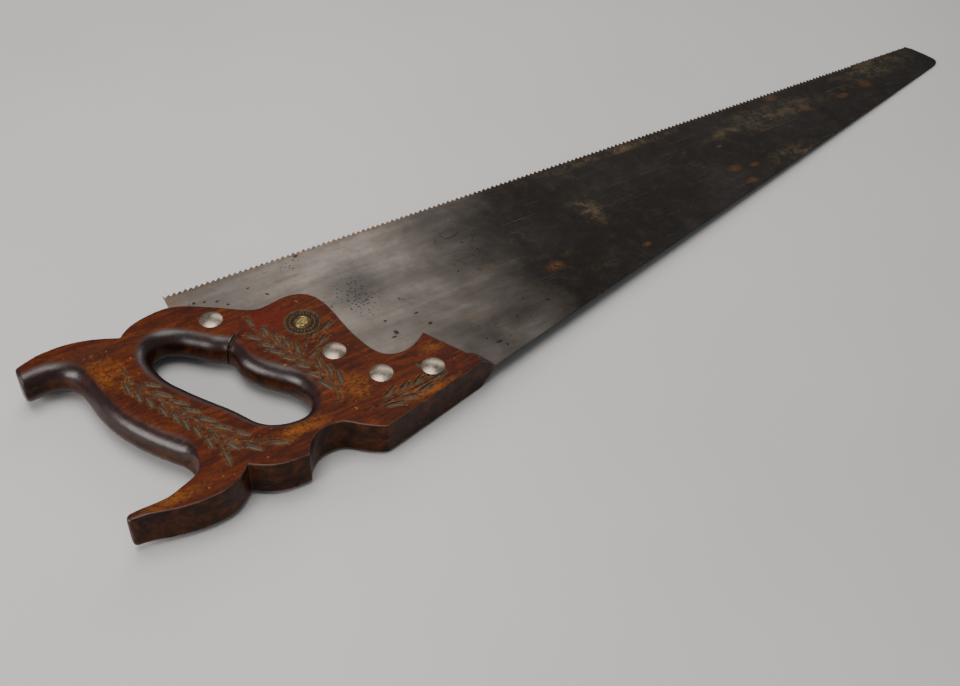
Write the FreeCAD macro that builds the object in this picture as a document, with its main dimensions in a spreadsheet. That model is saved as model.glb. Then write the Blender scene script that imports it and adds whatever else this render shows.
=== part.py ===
import FreeCAD, Part
import math
import os

# A crosscut hand saw lying on its side: a toothed steel plate held in a slotted
# hardwood handle by four domed screws, a medallion screw and five slotted nuts.
# Millimetres. While drawing, the heel tooth's tip is at 0, 0, the teeth run along
# +X, the handle hangs towards -Y, and z = 0 is the middle of the plate.

V = FreeCAD.Vector
doc = FreeCAD.newDocument("hand_saw")
sizes = doc.addObject("Spreadsheet::Sheet", "sizes")

dimensions = [
    ("plate_length", 660.4),      # along the teeth: a 26 inch saw
    ("tooth_count", 182),         # seven teeth to the inch, eight points
    ("tooth_height", 2.3),
    ("tooth_lean", 0.95),         # how far the tip stands ahead of the gullet
    ("plate_thick", 1.0),
    ("toe_width", 33.5),
    ("toe_lean", 7.7),            # the toe's end runs out towards the back
    ("toe_round", 7.0),
    ("handle_thick", 22.2),       # seven eighths of an inch
    ("slot_gap", 0.06),           # each side of the plate
    ("slot_depth_gap", 0.8),      # behind the plate's hidden edge
    ("grip_round", 10.9),
    ("hole_round", 10.7),
    ("hole_low_round", 8.0),
    ("edge_round", 1.1),          # where the grip's rounding runs out
    ("nick_wide", 1.1),           # a fine cut across the hand hole's rim
    ("head_dia", 13.4),
    ("head_rim", 1.7),            # sunk part of the head
    ("head_crown", 1.3),          # part that stands above the wood
    ("square_side", 5.6),
    ("square_long", 4.2),
    ("shank_dia", 4.6),
    ("nut_dia", 13.0),
    ("nut_thick", 2.2),
    ("nut_sink", 0.3),            # the nuts sit below the rest face
    ("sleeve_dia", 7.4),
    ("sleeve_gap", 0.4),          # between the sleeve's end and the plate
    ("driver_slot", 1.3),
    ("driver_slot_deep", 1.1),
    ("medallion_dia", 21.8),
    ("medallion_rim", 1.9),
    ("medallion_boss", 9.8),
    ("bead_count", 24),
    ("bead_dia", 1.5),
    ("bead_high", 0.6),
    ("fit_gap", 0.06),            # round the hardware, on the radius
    ("centre_back", -286.46),      # moves the origin to the middle of the base
    ("centre_side", 84.1),
]
for row, (name, value) in enumerate(dimensions, start=1):
    sizes.set("A%d" % row, name)
    sizes.set("B%d" % row, str(value))
    sizes.setAlias("B%d" % row, name)
doc.recompute()


def size(name):
    return float(sizes.get(name))


def bind(thing, prop, formula):
    thing.setExpression(prop, formula)


def place(thing):
    # puts a finished piece in the object's own frame
    bind(thing, "Placement.Base.x", "sizes.centre_back")
    bind(thing, "Placement.Base.y", "sizes.centre_side")
    bind(thing, "Placement.Base.z", "sizes.handle_thick / 2")


def plane_of(body, role):
    return [f for f in body.Origin.OriginFeatures if f.Role == role][0]


def sketch_on(body, name, height=None, role="XY_Plane"):
    sketch = body.newObject("Sketcher::SketchObject", name)
    sketch.AttachmentSupport = [(plane_of(body, role), "")]
    sketch.MapMode = "FlatFace"
    if height:
        bind(sketch, "AttachmentOffset.Base.z", height)
    return sketch


def lines(points):
    ends = points[1:] + points[:1]
    return [Part.LineSegment(V(*a, 0), V(*b, 0)) for a, b in zip(points, ends)]


def pad(body, sketch, name, length, both_ways=False):
    feature = body.newObject("PartDesign::Pad", name)
    feature.Profile = sketch
    if both_ways:
        feature.SideType = "Symmetric"
    bind(feature, "Length", length)
    return feature


def pocket(body, sketch, name, length, both_ways=False, up=False):
    feature = body.newObject("PartDesign::Pocket", name)
    feature.Profile = sketch
    if both_ways:
        feature.SideType = "Symmetric"
    bind(feature, "Length", length)
    feature.Reversed = up
    return feature


def curve(points):
    spline = Part.BSplineCurve()
    spline.interpolate([V(*p, 0) for p in points])
    return spline


def split(spline, *points):
    # cuts one smooth curve where its rounding changes
    stops = [spline.FirstParameter]
    stops += [spline.parameter(V(*p, 0)) for p in points]
    stops += [spline.LastParameter]
    pieces = []
    for low, high in zip(stops, stops[1:]):
        piece = spline.copy()
        piece.segment(low, high)
        pieces.append(piece)
    return pieces


# Where the hardware goes: four screws, then the medallion.
screw_spots = [(14.2, -44.6), (65.1, -102.8), (80.1, -131.6), (108.2, -141.1)]
medallion_spot = (59.7, -72.4)
all_spots = screw_spots + [medallion_spot]

# The plate's edge inside the handle, from the back corner round to the heel.
hidden_edge = [(146.6, -149.3), (134, -148.4), (112, -150.4), (94, -149),
               (74, -141), (57, -125), (45, -104), (29, -75), (7, -54), (-1.5, -35)]


def plate_outline():
    pitch = size("plate_length") / size("tooth_count")
    points = [(0, 0)]
    for tooth in range(int(size("tooth_count"))):
        tip = tooth * pitch
        points.append((tip + size("tooth_lean"), -size("tooth_height")))
        points.append((tip + pitch, 0))
    toe = size("plate_length")
    far = toe + size("toe_lean")
    low = -size("toe_width")
    turn = size("toe_round")
    points.append((toe + 1.0, -1.0))
    points.append((toe + size("toe_lean") * 0.45, -5.0))
    points.append((toe + size("toe_lean") * 0.86, low * 0.54))
    points.append((far, low + turn * 1.2))
    points.append((far - turn * 0.1, low + turn * 0.7))
    points.append((far - turn * 0.55, low + turn * 0.27))
    points.append((far - turn * 1.6, low - 0.5))
    return points + hidden_edge


plate = doc.addObject("PartDesign::Body", "saw_plate")
plate.Label = "saw_plate"
plate_sketch = sketch_on(plate, "plate_sketch")
plate_sketch.addGeometry(lines(plate_outline()), False)
pad(plate, plate_sketch, "plate_pad", "sizes.plate_thick", both_ways=True)
plate_holes = sketch_on(plate, "plate_holes")
for x, y in all_spots:
    hole_radius = size("shank_dia") / 2 + size("fit_gap") + 0.3
    circle = Part.Circle(V(x, y, 0), V(0, 0, 1), hole_radius)
    plate_holes.addGeometry(circle, False)
pocket(plate, plate_holes, "plate_bores", "sizes.plate_thick * 2", both_ways=True)
place(plate)

# The handle's outline, from the end of the lower horn round the front to the
# upper horn and back down the grip. The lower horn is drawn long and trimmed later.
horn_end = [(-99.5, -43.2), (-99.5, -30.4)]
horn_top = [(-99.5, -30.4), (-92.4, -27.6), (-84.4, -25.4), (-76.7, -24.3), (-66, -23.9), (-56.7, -25.4),
            (-44.9, -29.4), (-36.4, -33.6)]
shoulder = [(-36.4, -33.6), (-31.4, -28.8), (-24.9, -25.4), (-15, -22.9), (-6.2, -22.2),
            (2, -24.1), (14.5, -31.2), (25.5, -38.8), (35.2, -46), (41, -48.4),
            (50.3, -47.9), (62, -46.6), (68.3, -48), (73.6, -51.6), (77.2, -57.8),
            (79.7, -70.2), (80.8, -89.5), (83.2, -104.5), (86.3, -114.2), (91.5, -119.9),
            (99, -121.8), (107, -120.2), (117.5, -113.8)]
front = [(117.5, -113.8), (131, -141), (145.4, -149.7)]
back = [(145.4, -149.7), (64.2, -168.2)]
back_scoop = [(64.2, -168.2), (57.5, -164.4), (51, -158.9), (45, -153.8), (38, -152.3),
              (30.8, -153.2), (24.8, -157), (19.4, -165.5)]
tongue = [(19.4, -165.5), (8.8, -165), (0, -162.9), (-6.9, -159), (-11.3, -155.6)]
upper_horn = [(-11.3, -155.6), (-17, -160.6), (-24, -164.7), (-35, -166.4), (-47.5, -165.6),
              (-60, -162.9), (-70.4, -160.4)]
upper_end = [(-70.4, -160.4), (-71.6, -156.8), (-69.8, -153.9)]
grip_back = [(-69.8, -153.9), (-63.1, -154.9), (-53.8, -154.6), (-44, -151.2),
             (-36.5, -147.6), (-33, -142.4), (-33.2, -137), (-37.2, -130), (-45.1, -119.2),
             (-51.4, -109.7), (-56.9, -99.5), (-61.4, -88.7), (-64.5, -77.1),
             (-66.2, -65.1), (-67.5, -54.9), (-70.4, -47.4), (-75, -43.3),
             (-81, -41.6), (-91.6, -42.4), (-99.5, -43.2)]
fade_start = (-38.6, -128.2)
fade_end = (-33, -141.6)

# The hand hole at mid thickness, anticlockwise from its lowest part.
hole_line = [(17, -135), (24, -136.1), (30.3, -135.2), (34.8, -132.2), (37.3, -126.6),
             (37.2, -119), (35.2, -111.6), (29.2, -103.5), (22.6, -95.9), (17.6, -88),
             (14.8, -80), (14.4, -73), (12.9, -68.6), (9.2, -65.4), (5, -62), (1, -57.9),
             (-3.3, -53.7), (-7.4, -50), (-11.4, -47.4), (-15.4, -46), (-19.2, -46),
             (-22.6, -47.8), (-25, -50.6), (-26.4, -54.7), (-26.5, -59.9), (-24.6, -70.1),
             (-20.2, -80.1), (-14.2, -90.4), (-7.5, -101.3), (-1.2, -112.1),
             (3.2, -121.2), (7.2, -128.4), (11.4, -132.4)]
hole_stops = [(37.2, -119), (-14.2, -90.4)]
nick_spot = (13.3, -69.1)
nick_turn = 36

blank = doc.addObject("PartDesign::Body", "handle_blank")
blank_sketch = sketch_on(blank, "outline")
grip_pieces = split(curve(grip_back), fade_end, fade_start)
outline = [Part.LineSegment(V(*horn_end[0], 0), V(*horn_end[1], 0))]
outline += [curve(run) for run in (horn_top, shoulder)]
for run in (front, back, upper_end):
    outline += [Part.LineSegment(V(*a, 0), V(*b, 0)) for a, b in zip(run, run[1:])]
outline += [curve(run) for run in (back_scoop, tongue, upper_horn)]
outline += grip_pieces
blank_sketch.addGeometry(outline, False)
pad(blank, blank_sketch, "outline_pad", "sizes.handle_thick", both_ways=True)
hole_sketch = sketch_on(blank, "hand_hole")
hole_loop = Part.BSplineCurve()
hole_loop.interpolate(Points=[V(*p, 0) for p in hole_line], PeriodicFlag=True)
hole_pieces = split(hole_loop, *hole_stops)
hole_sketch.addGeometry(hole_pieces, False)
pocket(blank, hole_sketch, "hand_hole_pocket", "sizes.handle_thick * 2", both_ways=True)
doc.recompute()


def middle(piece):
    where = (piece.FirstParameter + piece.LastParameter) / 2
    return piece.value(where)


# Each curve that is rounded over: its radius where it starts and where it ends.
grip = size("grip_round")
hold = size("hole_round")
low = size("hole_low_round")
edge = size("edge_round")
rounds = [(grip_pieces[0], edge, edge),
          (grip_pieces[1], edge, grip),
          (grip_pieces[2], grip, grip),
          (hole_pieces[0], low, hold),
          (hole_pieces[1], hold, hold),
          (hole_pieces[2], hold, low)]


def rim_edges(shape, half):
    # the edges that lie flat in either cheek
    found = []
    for number, item in enumerate(shape.Edges, start=1):
        ends = [v.Z for v in item.Vertexes]
        if all(abs(abs(z) - half) < 0.01 for z in ends) and ends[0] * ends[-1] > 0:
            found.append((number, item))
    return found


def edge_rounds(shape, half):
    chosen = []
    for number, item in rim_edges(shape, half):
        for piece, start, end in rounds:
            spot = middle(piece)
            spot.z = item.Vertexes[0].Z
            if item.distToShape(Part.Vertex(spot))[0] < 0.02:
                first = item.valueAt(item.FirstParameter)
                begin = piece.value(piece.FirstParameter)
                same_way = math.hypot(first.x - begin.x, first.y - begin.y) < 0.5
                pair = (start, end) if same_way else (end, start)
                chosen.append((number,) + pair)
    return chosen


rounded = doc.addObject("Part::Fillet", "handle_rounded")
rounded.Base = blank
rounded.Edges = edge_rounds(blank.Shape, size("handle_thick") / 2)
doc.recompute()


def tool_body(name, sketch_name, shapes, length, role="XY_Plane"):
    body = doc.addObject("PartDesign::Body", name)
    sketch = sketch_on(body, sketch_name, role=role)
    sketch.addGeometry(shapes, False)
    pad(body, sketch, name + "_pad", length, both_ways=True)
    return body


# The kerf in the wood follows the plate's hidden edge with a little to spare.
def away(point, gap):
    inner = V(75, -95, 0)
    out = (V(*point, 0) - inner).normalize()
    return (round(point[0] + out.x * gap, 2), round(point[1] + out.y * gap, 2))


depth_gap = size("slot_depth_gap")
kerf_line = [(165, 6), (-1.5 - depth_gap, 6)]
kerf_line += [away(p, depth_gap) for p in reversed(hidden_edge)]
kerf_line += [(165, -146)]
kerf = tool_body("kerf", "kerf_line", lines(kerf_line), "sizes.plate_thick + 2 * sizes.slot_gap")

# A shallow nick runs down the rounded front side of the hand hole.
half = size("handle_thick") / 2
flat = half - hold
deep = 1.3


def nick_arc(side):
    centre = V(hold, side * flat, 0)
    reach = hold - deep
    slope = reach * math.sqrt(0.5)
    ends = [V(hold, side * (flat + reach), 0), V(deep, side * flat, 0)]
    return Part.Arc(ends[0], centre + V(-slope, side * slope, 0), ends[1])


nick_path = [(deep, flat), (deep, -flat)]
nick_open = [(hold, -flat - hold + deep), (hold + 3, -half - 0.2), (-3, -half - 0.2),
             (-3, half + 0.2), (hold + 3, half + 0.2), (hold, flat + hold - deep)]
nick_shapes = [Part.LineSegment(V(*nick_path[0], 0), V(*nick_path[1], 0))]
nick_shapes += [nick_arc(-1), nick_arc(1)]
nick_shapes += [Part.LineSegment(V(*a, 0), V(*b, 0)) for a, b in zip(nick_open, nick_open[1:])]
nick = tool_body("nick", "nick_section", nick_shapes, "sizes.nick_wide", role="XZ_Plane")
nick.Placement = FreeCAD.Placement(V(*nick_spot, 0), FreeCAD.Rotation(V(0, 0, 1), nick_turn))

# The tip beside the plate's back is bevelled down to the steel on both faces.
bevels = []
for side in (1, -1):
    section = [(0, side * half), (11, side * 1.2), (24, side * 1.2), (24, side * 14),
               (0, side * 14)]
    bevel = tool_body("bevel_%d" % len(bevels), "bevel_section_%d" % len(bevels),
                      lines(section), "sizes.handle_thick * 2", role="XZ_Plane")
    bevel.Placement = FreeCAD.Placement(V(135.2, -147, 0), FreeCAD.Rotation(V(0, 0, 1), 8))
    bevels.append(bevel)

# The lower horn ends here, square across.
horn_trim = tool_body("horn_trim", "horn_trim_line",
                      lines([(-94.4, -50), (-95.5, -20), (-112, -20), (-112, -50)]),
                      "sizes.handle_thick * 2")


def bore(name, spot, radius, low_end, length):
    hole = doc.addObject("Part::Cylinder", name)
    bind(hole, "Radius", radius)
    bind(hole, "Height", length)
    hole.Placement.Base = V(*spot, 0)
    bind(hole, "Placement.Base.z", low_end)
    return hole


def square_bore(name, spot, low_end, length):
    hole = doc.addObject("Part::Box", name)
    for side in ("Length", "Width"):
        bind(hole, side, "sizes.square_side + 2 * sizes.fit_gap")
    bind(hole, "Height", length)
    bind(hole, "Placement.Base.x", "%s - sizes.square_side / 2 - sizes.fit_gap" % spot[0])
    bind(hole, "Placement.Base.y", "%s - sizes.square_side / 2 - sizes.fit_gap" % spot[1])
    bind(hole, "Placement.Base.z", low_end)
    return hole


cheek = "sizes.handle_thick / 2"
nut_seat = "(sizes.nut_thick + sizes.nut_sink)"
cuts = [kerf, nick, horn_trim] + bevels
for number, spot in enumerate(all_spots, start=1):
    is_medallion = spot == medallion_spot
    rim = "sizes.medallion_rim" if is_medallion else "sizes.head_rim"
    head = "sizes.medallion_dia" if is_medallion else "sizes.head_dia"
    cuts.append(bore("head_seat_%d" % number, spot, head + " / 2 + sizes.fit_gap",
                     "%s - %s - sizes.fit_gap" % (cheek, rim), "sizes.head_dia"))
    cuts.append(square_bore("neck_hole_%d" % number, spot,
                            "%s - %s - sizes.square_long - sizes.fit_gap" % (cheek, rim),
                            "sizes.square_long + 1"))
    cuts.append(bore("shank_hole_%d" % number, spot, "sizes.shank_dia / 2 + sizes.fit_gap",
                     "0", "sizes.handle_thick / 2"))
    cuts.append(bore("sleeve_hole_%d" % number, spot, "sizes.sleeve_dia / 2 + sizes.fit_gap",
                     "-sizes.handle_thick / 2", "sizes.handle_thick / 2"))
    cuts.append(bore("nut_seat_%d" % number, spot, "sizes.nut_dia / 2 + sizes.fit_gap",
                     "-sizes.handle_thick / 2 - 1", nut_seat + " + 1 + sizes.fit_gap"))
all_cuts = doc.addObject("Part::MultiFuse", "handle_cuts")
all_cuts.Shapes = cuts
handle = doc.addObject("Part::Cut", "handle")
handle.Label = "handle"
handle.Base = rounded
handle.Tool = all_cuts
place(handle)


def turned(body, name, points, arcs=()):
    # a half section in the XZ plane, revolved about Z; arcs gives crowns
    sketch = sketch_on(body, name + "_section", role="XZ_Plane")
    ends = points[1:] + points[:1]
    for number, (a, b) in enumerate(zip(points, ends)):
        bulge = dict(arcs).get(number)
        if bulge:
            sketch.addGeometry(Part.Arc(V(*a, 0), V(*bulge, 0), V(*b, 0)), False)
        else:
            sketch.addGeometry(Part.LineSegment(V(*a, 0), V(*b, 0)), False)
    spin = body.newObject("PartDesign::Revolution", name)
    spin.Profile = sketch
    spin.ReferenceAxis = (sketch, ["V_Axis"])
    spin.Angle = 360
    return spin


def square_neck(body, top):
    side = size("square_side") / 2
    corners = [(-side, -side), (side, -side), (side, side), (-side, side)]
    sketch = sketch_on(body, "neck_section")
    sketch.AttachmentOffset.Base = V(0, 0, 0)
    bind(sketch, "AttachmentOffset.Base.z", "%s - sizes.square_long" % top)
    sketch.addGeometry(lines(corners), False)
    pad(body, sketch, "neck", "sizes.square_long")


def crown(radius, rise, start):
    # a point part of the way up a domed top, for its arc
    ball = (radius * radius + rise * rise) / (2 * rise)
    mid = radius * 0.5
    return (mid, start + rise - ball + math.sqrt(ball * ball - mid * mid))


def fasten(body, spot):
    bind(body, "Placement.Base.x", "sizes.centre_back + %s" % spot[0])
    bind(body, "Placement.Base.y", "sizes.centre_side + %s" % spot[1])
    bind(body, "Placement.Base.z", "sizes.handle_thick / 2")


shank_end = -half + size("nut_sink") + 0.5
shank = size("shank_dia") / 2


def screw(name, spot):
    body = doc.addObject("PartDesign::Body", name)
    body.Label = name
    radius = size("head_dia") / 2
    seat = half - size("head_rim")
    points = [(0, shank_end), (shank - 0.5, shank_end), (shank, shank_end + 0.6),
              (shank, seat), (radius, seat), (radius, half), (0, half + size("head_crown"))]
    turned(body, "head_and_shank", points, [(5, crown(radius, size("head_crown"), half))])
    square_neck(body, "sizes.handle_thick / 2 - sizes.head_rim")
    fasten(body, spot)
    return body


def nut(name, spot):
    body = doc.addObject("PartDesign::Body", name)
    body.Label = name
    low = -half + size("nut_sink")
    high = low + size("nut_thick")
    top = -size("plate_thick") / 2 - size("sleeve_gap")
    inner = shank + size("fit_gap")
    radius = size("nut_dia") / 2
    sleeve = size("sleeve_dia") / 2
    points = [(inner, low), (radius - 0.4, low), (radius, low + 0.4), (radius, high),
              (sleeve, high), (sleeve, top), (inner, top)]
    turned(body, "flange_and_sleeve", points)
    wide = size("driver_slot") / 2
    reach = radius + 1
    for number, side in enumerate((-1, 1)):
        sketch = sketch_on(body, "driver_slot_%d" % number, "-sizes.handle_thick / 2")
        near = side * (inner + 0.5)
        far = side * reach
        corners = [(near, -wide), (far, -wide), (far, wide), (near, wide)]
        sketch.addGeometry(lines(corners), False)
        pocket(body, sketch, "driver_cut_%d" % number,
               "sizes.nut_sink + sizes.driver_slot_deep", up=True)
    fasten(body, spot)
    return body


def medallion(name, spot):
    body = doc.addObject("PartDesign::Body", name)
    body.Label = name
    radius = size("medallion_dia") / 2
    boss = size("medallion_boss") / 2
    seat = half - size("medallion_rim")
    points = [(0, shank_end), (shank - 0.5, shank_end), (shank, shank_end + 0.6),
              (shank, seat), (radius, seat), (radius, half + 0.1), (radius - 0.4, half + 0.4),
              (radius - 1.1, half + 0.4), (radius - 1.6, half - 0.3), (boss + 0.6, half - 0.3),
              (boss, half + 0.5), (0, half + 0.9)]
    turned(body, "disc_and_shank", points, [(10, crown(boss, 0.4, half + 0.5))])
    square_neck(body, "sizes.handle_thick / 2 - sizes.medallion_rim")
    ring = (radius - 1.6 + boss + 0.6) / 2
    bead_sketch = sketch_on(body, "bead_circle", "sizes.handle_thick / 2 - 0.5")
    bead_sketch.addGeometry(Part.Circle(V(ring, 0, 0), V(0, 0, 1), size("bead_dia") / 2), False)
    bead = pad(body, bead_sketch, "bead", "sizes.bead_high + 0.2")
    beads = body.newObject("PartDesign::PolarPattern", "beads")
    beads.Originals = [bead]
    beads.Axis = (bead_sketch, ["N_Axis"])
    beads.Angle = 360
    bind(beads, "Occurrences", "sizes.bead_count")
    body.Tip = beads
    fasten(body, spot)
    return body


fasteners = []
for number, spot in enumerate(screw_spots, start=1):
    fasteners.append(screw("screw_%d" % number, spot))
    fasteners.append(nut("nut_%d" % number, spot))
fasteners.append(medallion("medallion_screw", medallion_spot))
fasteners.append(nut("nut_5", medallion_spot))
doc.recompute()

pieces = [plate, handle] + fasteners
for thing in doc.Objects:
    bad = [state for state in thing.State if state in ("Invalid", "Error")]
    if bad:
        raise RuntimeError("%s is %s" % (thing.Name, bad))
os.makedirs("parts", exist_ok=True)
whole = FreeCAD.BoundBox()
for piece in pieces:
    shape = piece.Shape
    if shape.isNull() or not shape.isValid():
        raise RuntimeError("%s has no valid shape" % piece.Label)
    shape.exportStep("parts/%s.step" % piece.Label)
    whole.add(shape.optimalBoundingBox())
    print(piece.Label, len(shape.Solids), round(shape.Volume, 1))
print("whole", [round(n, 2) for n in (whole.XMin, whole.XMax, whole.YMin, whole.YMax,
                                      whole.ZMin, whole.ZMax)])
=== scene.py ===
import bpy
import math
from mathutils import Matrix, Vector


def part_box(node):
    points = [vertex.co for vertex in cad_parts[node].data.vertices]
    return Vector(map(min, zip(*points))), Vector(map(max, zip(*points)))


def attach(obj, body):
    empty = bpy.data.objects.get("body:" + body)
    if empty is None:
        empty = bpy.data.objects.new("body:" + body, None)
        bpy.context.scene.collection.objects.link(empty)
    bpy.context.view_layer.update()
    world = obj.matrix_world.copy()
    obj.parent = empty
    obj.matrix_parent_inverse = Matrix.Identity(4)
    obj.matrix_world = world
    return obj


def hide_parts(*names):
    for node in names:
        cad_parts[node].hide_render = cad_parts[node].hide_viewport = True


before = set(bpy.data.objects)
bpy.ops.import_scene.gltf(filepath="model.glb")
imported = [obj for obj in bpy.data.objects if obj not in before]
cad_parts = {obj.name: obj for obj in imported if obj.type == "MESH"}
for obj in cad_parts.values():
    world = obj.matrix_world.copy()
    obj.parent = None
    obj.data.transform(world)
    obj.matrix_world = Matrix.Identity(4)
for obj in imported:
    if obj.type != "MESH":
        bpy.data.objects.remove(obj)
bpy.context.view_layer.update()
bpy.ops.object.select_all(action="DESELECT")

# The saw is set out in mm: x along the teeth from the heel tooth's tip to the toe, y towards
# the teeth, z up from the plate's middle. heelShift places that tip in the frame.
heelShift = (-286.46, 84.1, 11.1)
cheekHigh = 11.1    # the upper cheek


def spot(x, y, z=0.0):
    # a set-out place, in the frame's metres
    return Vector(((x + heelShift[0]) / 1000, (y + heelShift[1]) / 1000, (z + heelShift[2]) / 1000))


def setOutPlace(vertex):
    # the other way round: where a vertex is, in mm
    return [c * 1000 - shift for c, shift in zip(vertex.co, heelShift)]


def useOnly(piece):
    bpy.ops.object.select_all(action="DESELECT")
    piece.select_set(True)
    bpy.context.view_layer.objects.active = piece


def pickVertices(piece, wanted):
    # selects the vertices that pass the test and stays in edit mode
    useOnly(piece)
    bpy.ops.object.mode_set(mode="EDIT")
    bpy.ops.mesh.select_all(action="DESELECT")
    bpy.ops.object.mode_set(mode="OBJECT")
    for vertex in piece.data.vertices:
        vertex.select = wanted(vertex)
    bpy.ops.object.mode_set(mode="EDIT")


def applyAll(piece):
    useOnly(piece)
    for modifier in list(piece.modifiers):
        bpy.ops.object.modifier_apply(modifier=modifier.name)


def copyOfNode(node, name):
    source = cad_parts[node]
    mesh = source.data.copy()
    mesh.name = name
    piece = bpy.data.objects.new(name, mesh)
    bpy.context.scene.collection.objects.link(piece)
    useOnly(piece)
    bpy.ops.object.mode_set(mode="EDIT")
    bpy.ops.mesh.select_all(action="SELECT")
    bpy.ops.mesh.remove_doubles(threshold=0.00001)
    bpy.ops.object.mode_set(mode="OBJECT")
    return piece


def settle(piece):
    # leaves the object at the origin, its place in its mesh
    useOnly(piece)
    bpy.ops.object.transform_apply(location=True, rotation=True, scale=True)


def smooth(piece, degrees):
    useOnly(piece)
    bpy.ops.object.shade_smooth_by_angle(angle=math.radians(degrees))


def showAs(piece, material, slotName, *nodes):
    piece.data.materials.clear()
    piece.data.materials.append(material)
    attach(piece, "root")
    if nodes:
        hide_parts(*nodes)


def paint(hexCode):
    # sRGB hex to linear colour
    parts = [int(hexCode[i:i + 2], 16) / 255 for i in (1, 3, 5)]
    linear = [c / 12.92 if c <= 0.04045 else ((c + 0.055) / 1.055) ** 2.4 for c in parts]
    return (*linear, 1.0)


def newMaterial(name):
    material = bpy.data.materials.new(name)
    material.use_nodes = True
    tree = material.node_tree
    return material, tree, tree.nodes["Principled BSDF"]


def addNode(tree, kind, settings=None, links=None):
    # links: input name or number -> socket, or a plain value
    node = tree.nodes.new(kind)
    for key, value in (settings or {}).items():
        setattr(node, key, value)
    for key, value in (links or {}).items():
        if isinstance(value, bpy.types.NodeSocket):
            tree.links.new(value, node.inputs[key])
        else:
            node.inputs[key].default_value = value
    return node


def addRamp(tree, source, stops):
    # stops: places with a hex colour or a grey level each
    node = addNode(tree, "ShaderNodeValToRGB", None, {"Fac": source})
    while len(node.color_ramp.elements) < len(stops):
        node.color_ramp.elements.new(0.5)
    for element, (place, colour) in zip(node.color_ramp.elements, stops):
        element.position = place
        element.color = paint(colour) if isinstance(colour, str) else (colour,) * 3 + (1,)
    return node.outputs["Color"]


def mixColours(tree, amount, first, second):
    # the node's sockets numbered 6 and 7 are its two colours
    links = {0: amount, 6: first, 7: second}
    return addNode(tree, "ShaderNodeMix", {"data_type": "RGBA"}, links).outputs[2]


def calc(tree, what, first, second=0.0, clamp=False):
    settings = {"operation": what, "use_clamp": clamp}
    return addNode(tree, "ShaderNodeMath", settings, {0: first, 1: second}).outputs[0]


def addBump(tree, shader, height, strength, depth):
    node = addNode(tree, "ShaderNodeBump", None,
                   {"Height": height, "Strength": strength, "Distance": depth})
    tree.links.new(node.outputs[0], shader.inputs["Normal"])


def objectPlace(tree, centre=(0, 0, 0), stretch=(1, 1, 1), turn=0.0):
    # object coordinates moved so that centre is 0, then turned and stretched
    coord = addNode(tree, "ShaderNodeTexCoord").outputs["Object"]
    shift = addNode(tree, "ShaderNodeVectorMath", {"operation": "SUBTRACT"}, {0: coord, 1: centre})
    return addNode(tree, "ShaderNodeMapping", None,
                   {"Vector": shift.outputs[0], "Rotation": (0, 0, turn),
                    "Scale": stretch}).outputs[0]


def grainNoise(tree, place, perMetre, detail=6.0, rough=0.6, distort=0.0):
    return addNode(tree, "ShaderNodeTexNoise", None,
                   {"Vector": place, "Scale": perMetre, "Detail": detail, "Roughness": rough,
                    "Distortion": distort}).outputs["Fac"]


def streaks(tree, stretch, turn, detail, rough, distort=0.0):
    # grain drawn out along one way
    return grainNoise(tree, objectPlace(tree, (0, 0, 0), stretch, turn), 1, detail, rough, distort)


def distance(tree, place):
    node = addNode(tree, "ShaderNodeVectorMath", {"operation": "LENGTH"}, {0: place})
    return node.outputs["Value"]


def patch(tree, centre, radiusX, radiusY, wobble=None, soft=0.5, turn=0.0):
    # 1 inside an oval round centre, fading to 0 at its edge; wobble roughens the edge
    place = objectPlace(tree, centre, (1 / radiusX, 1 / radiusY, 0), turn)
    away = distance(tree, place)
    if wobble is not None:
        shift = calc(tree, "MULTIPLY", calc(tree, "SUBTRACT", wobble, 0.5), 1.6)
        away = calc(tree, "ADD", away, shift)
    fade = addNode(tree, "ShaderNodeMapRange", {"clamp": True},
                   {"Value": away, "From Min": 1.0, "From Max": 1.0 - soft,
                    "To Min": 0.0, "To Max": 1.0})
    return fade.outputs[0]


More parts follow.
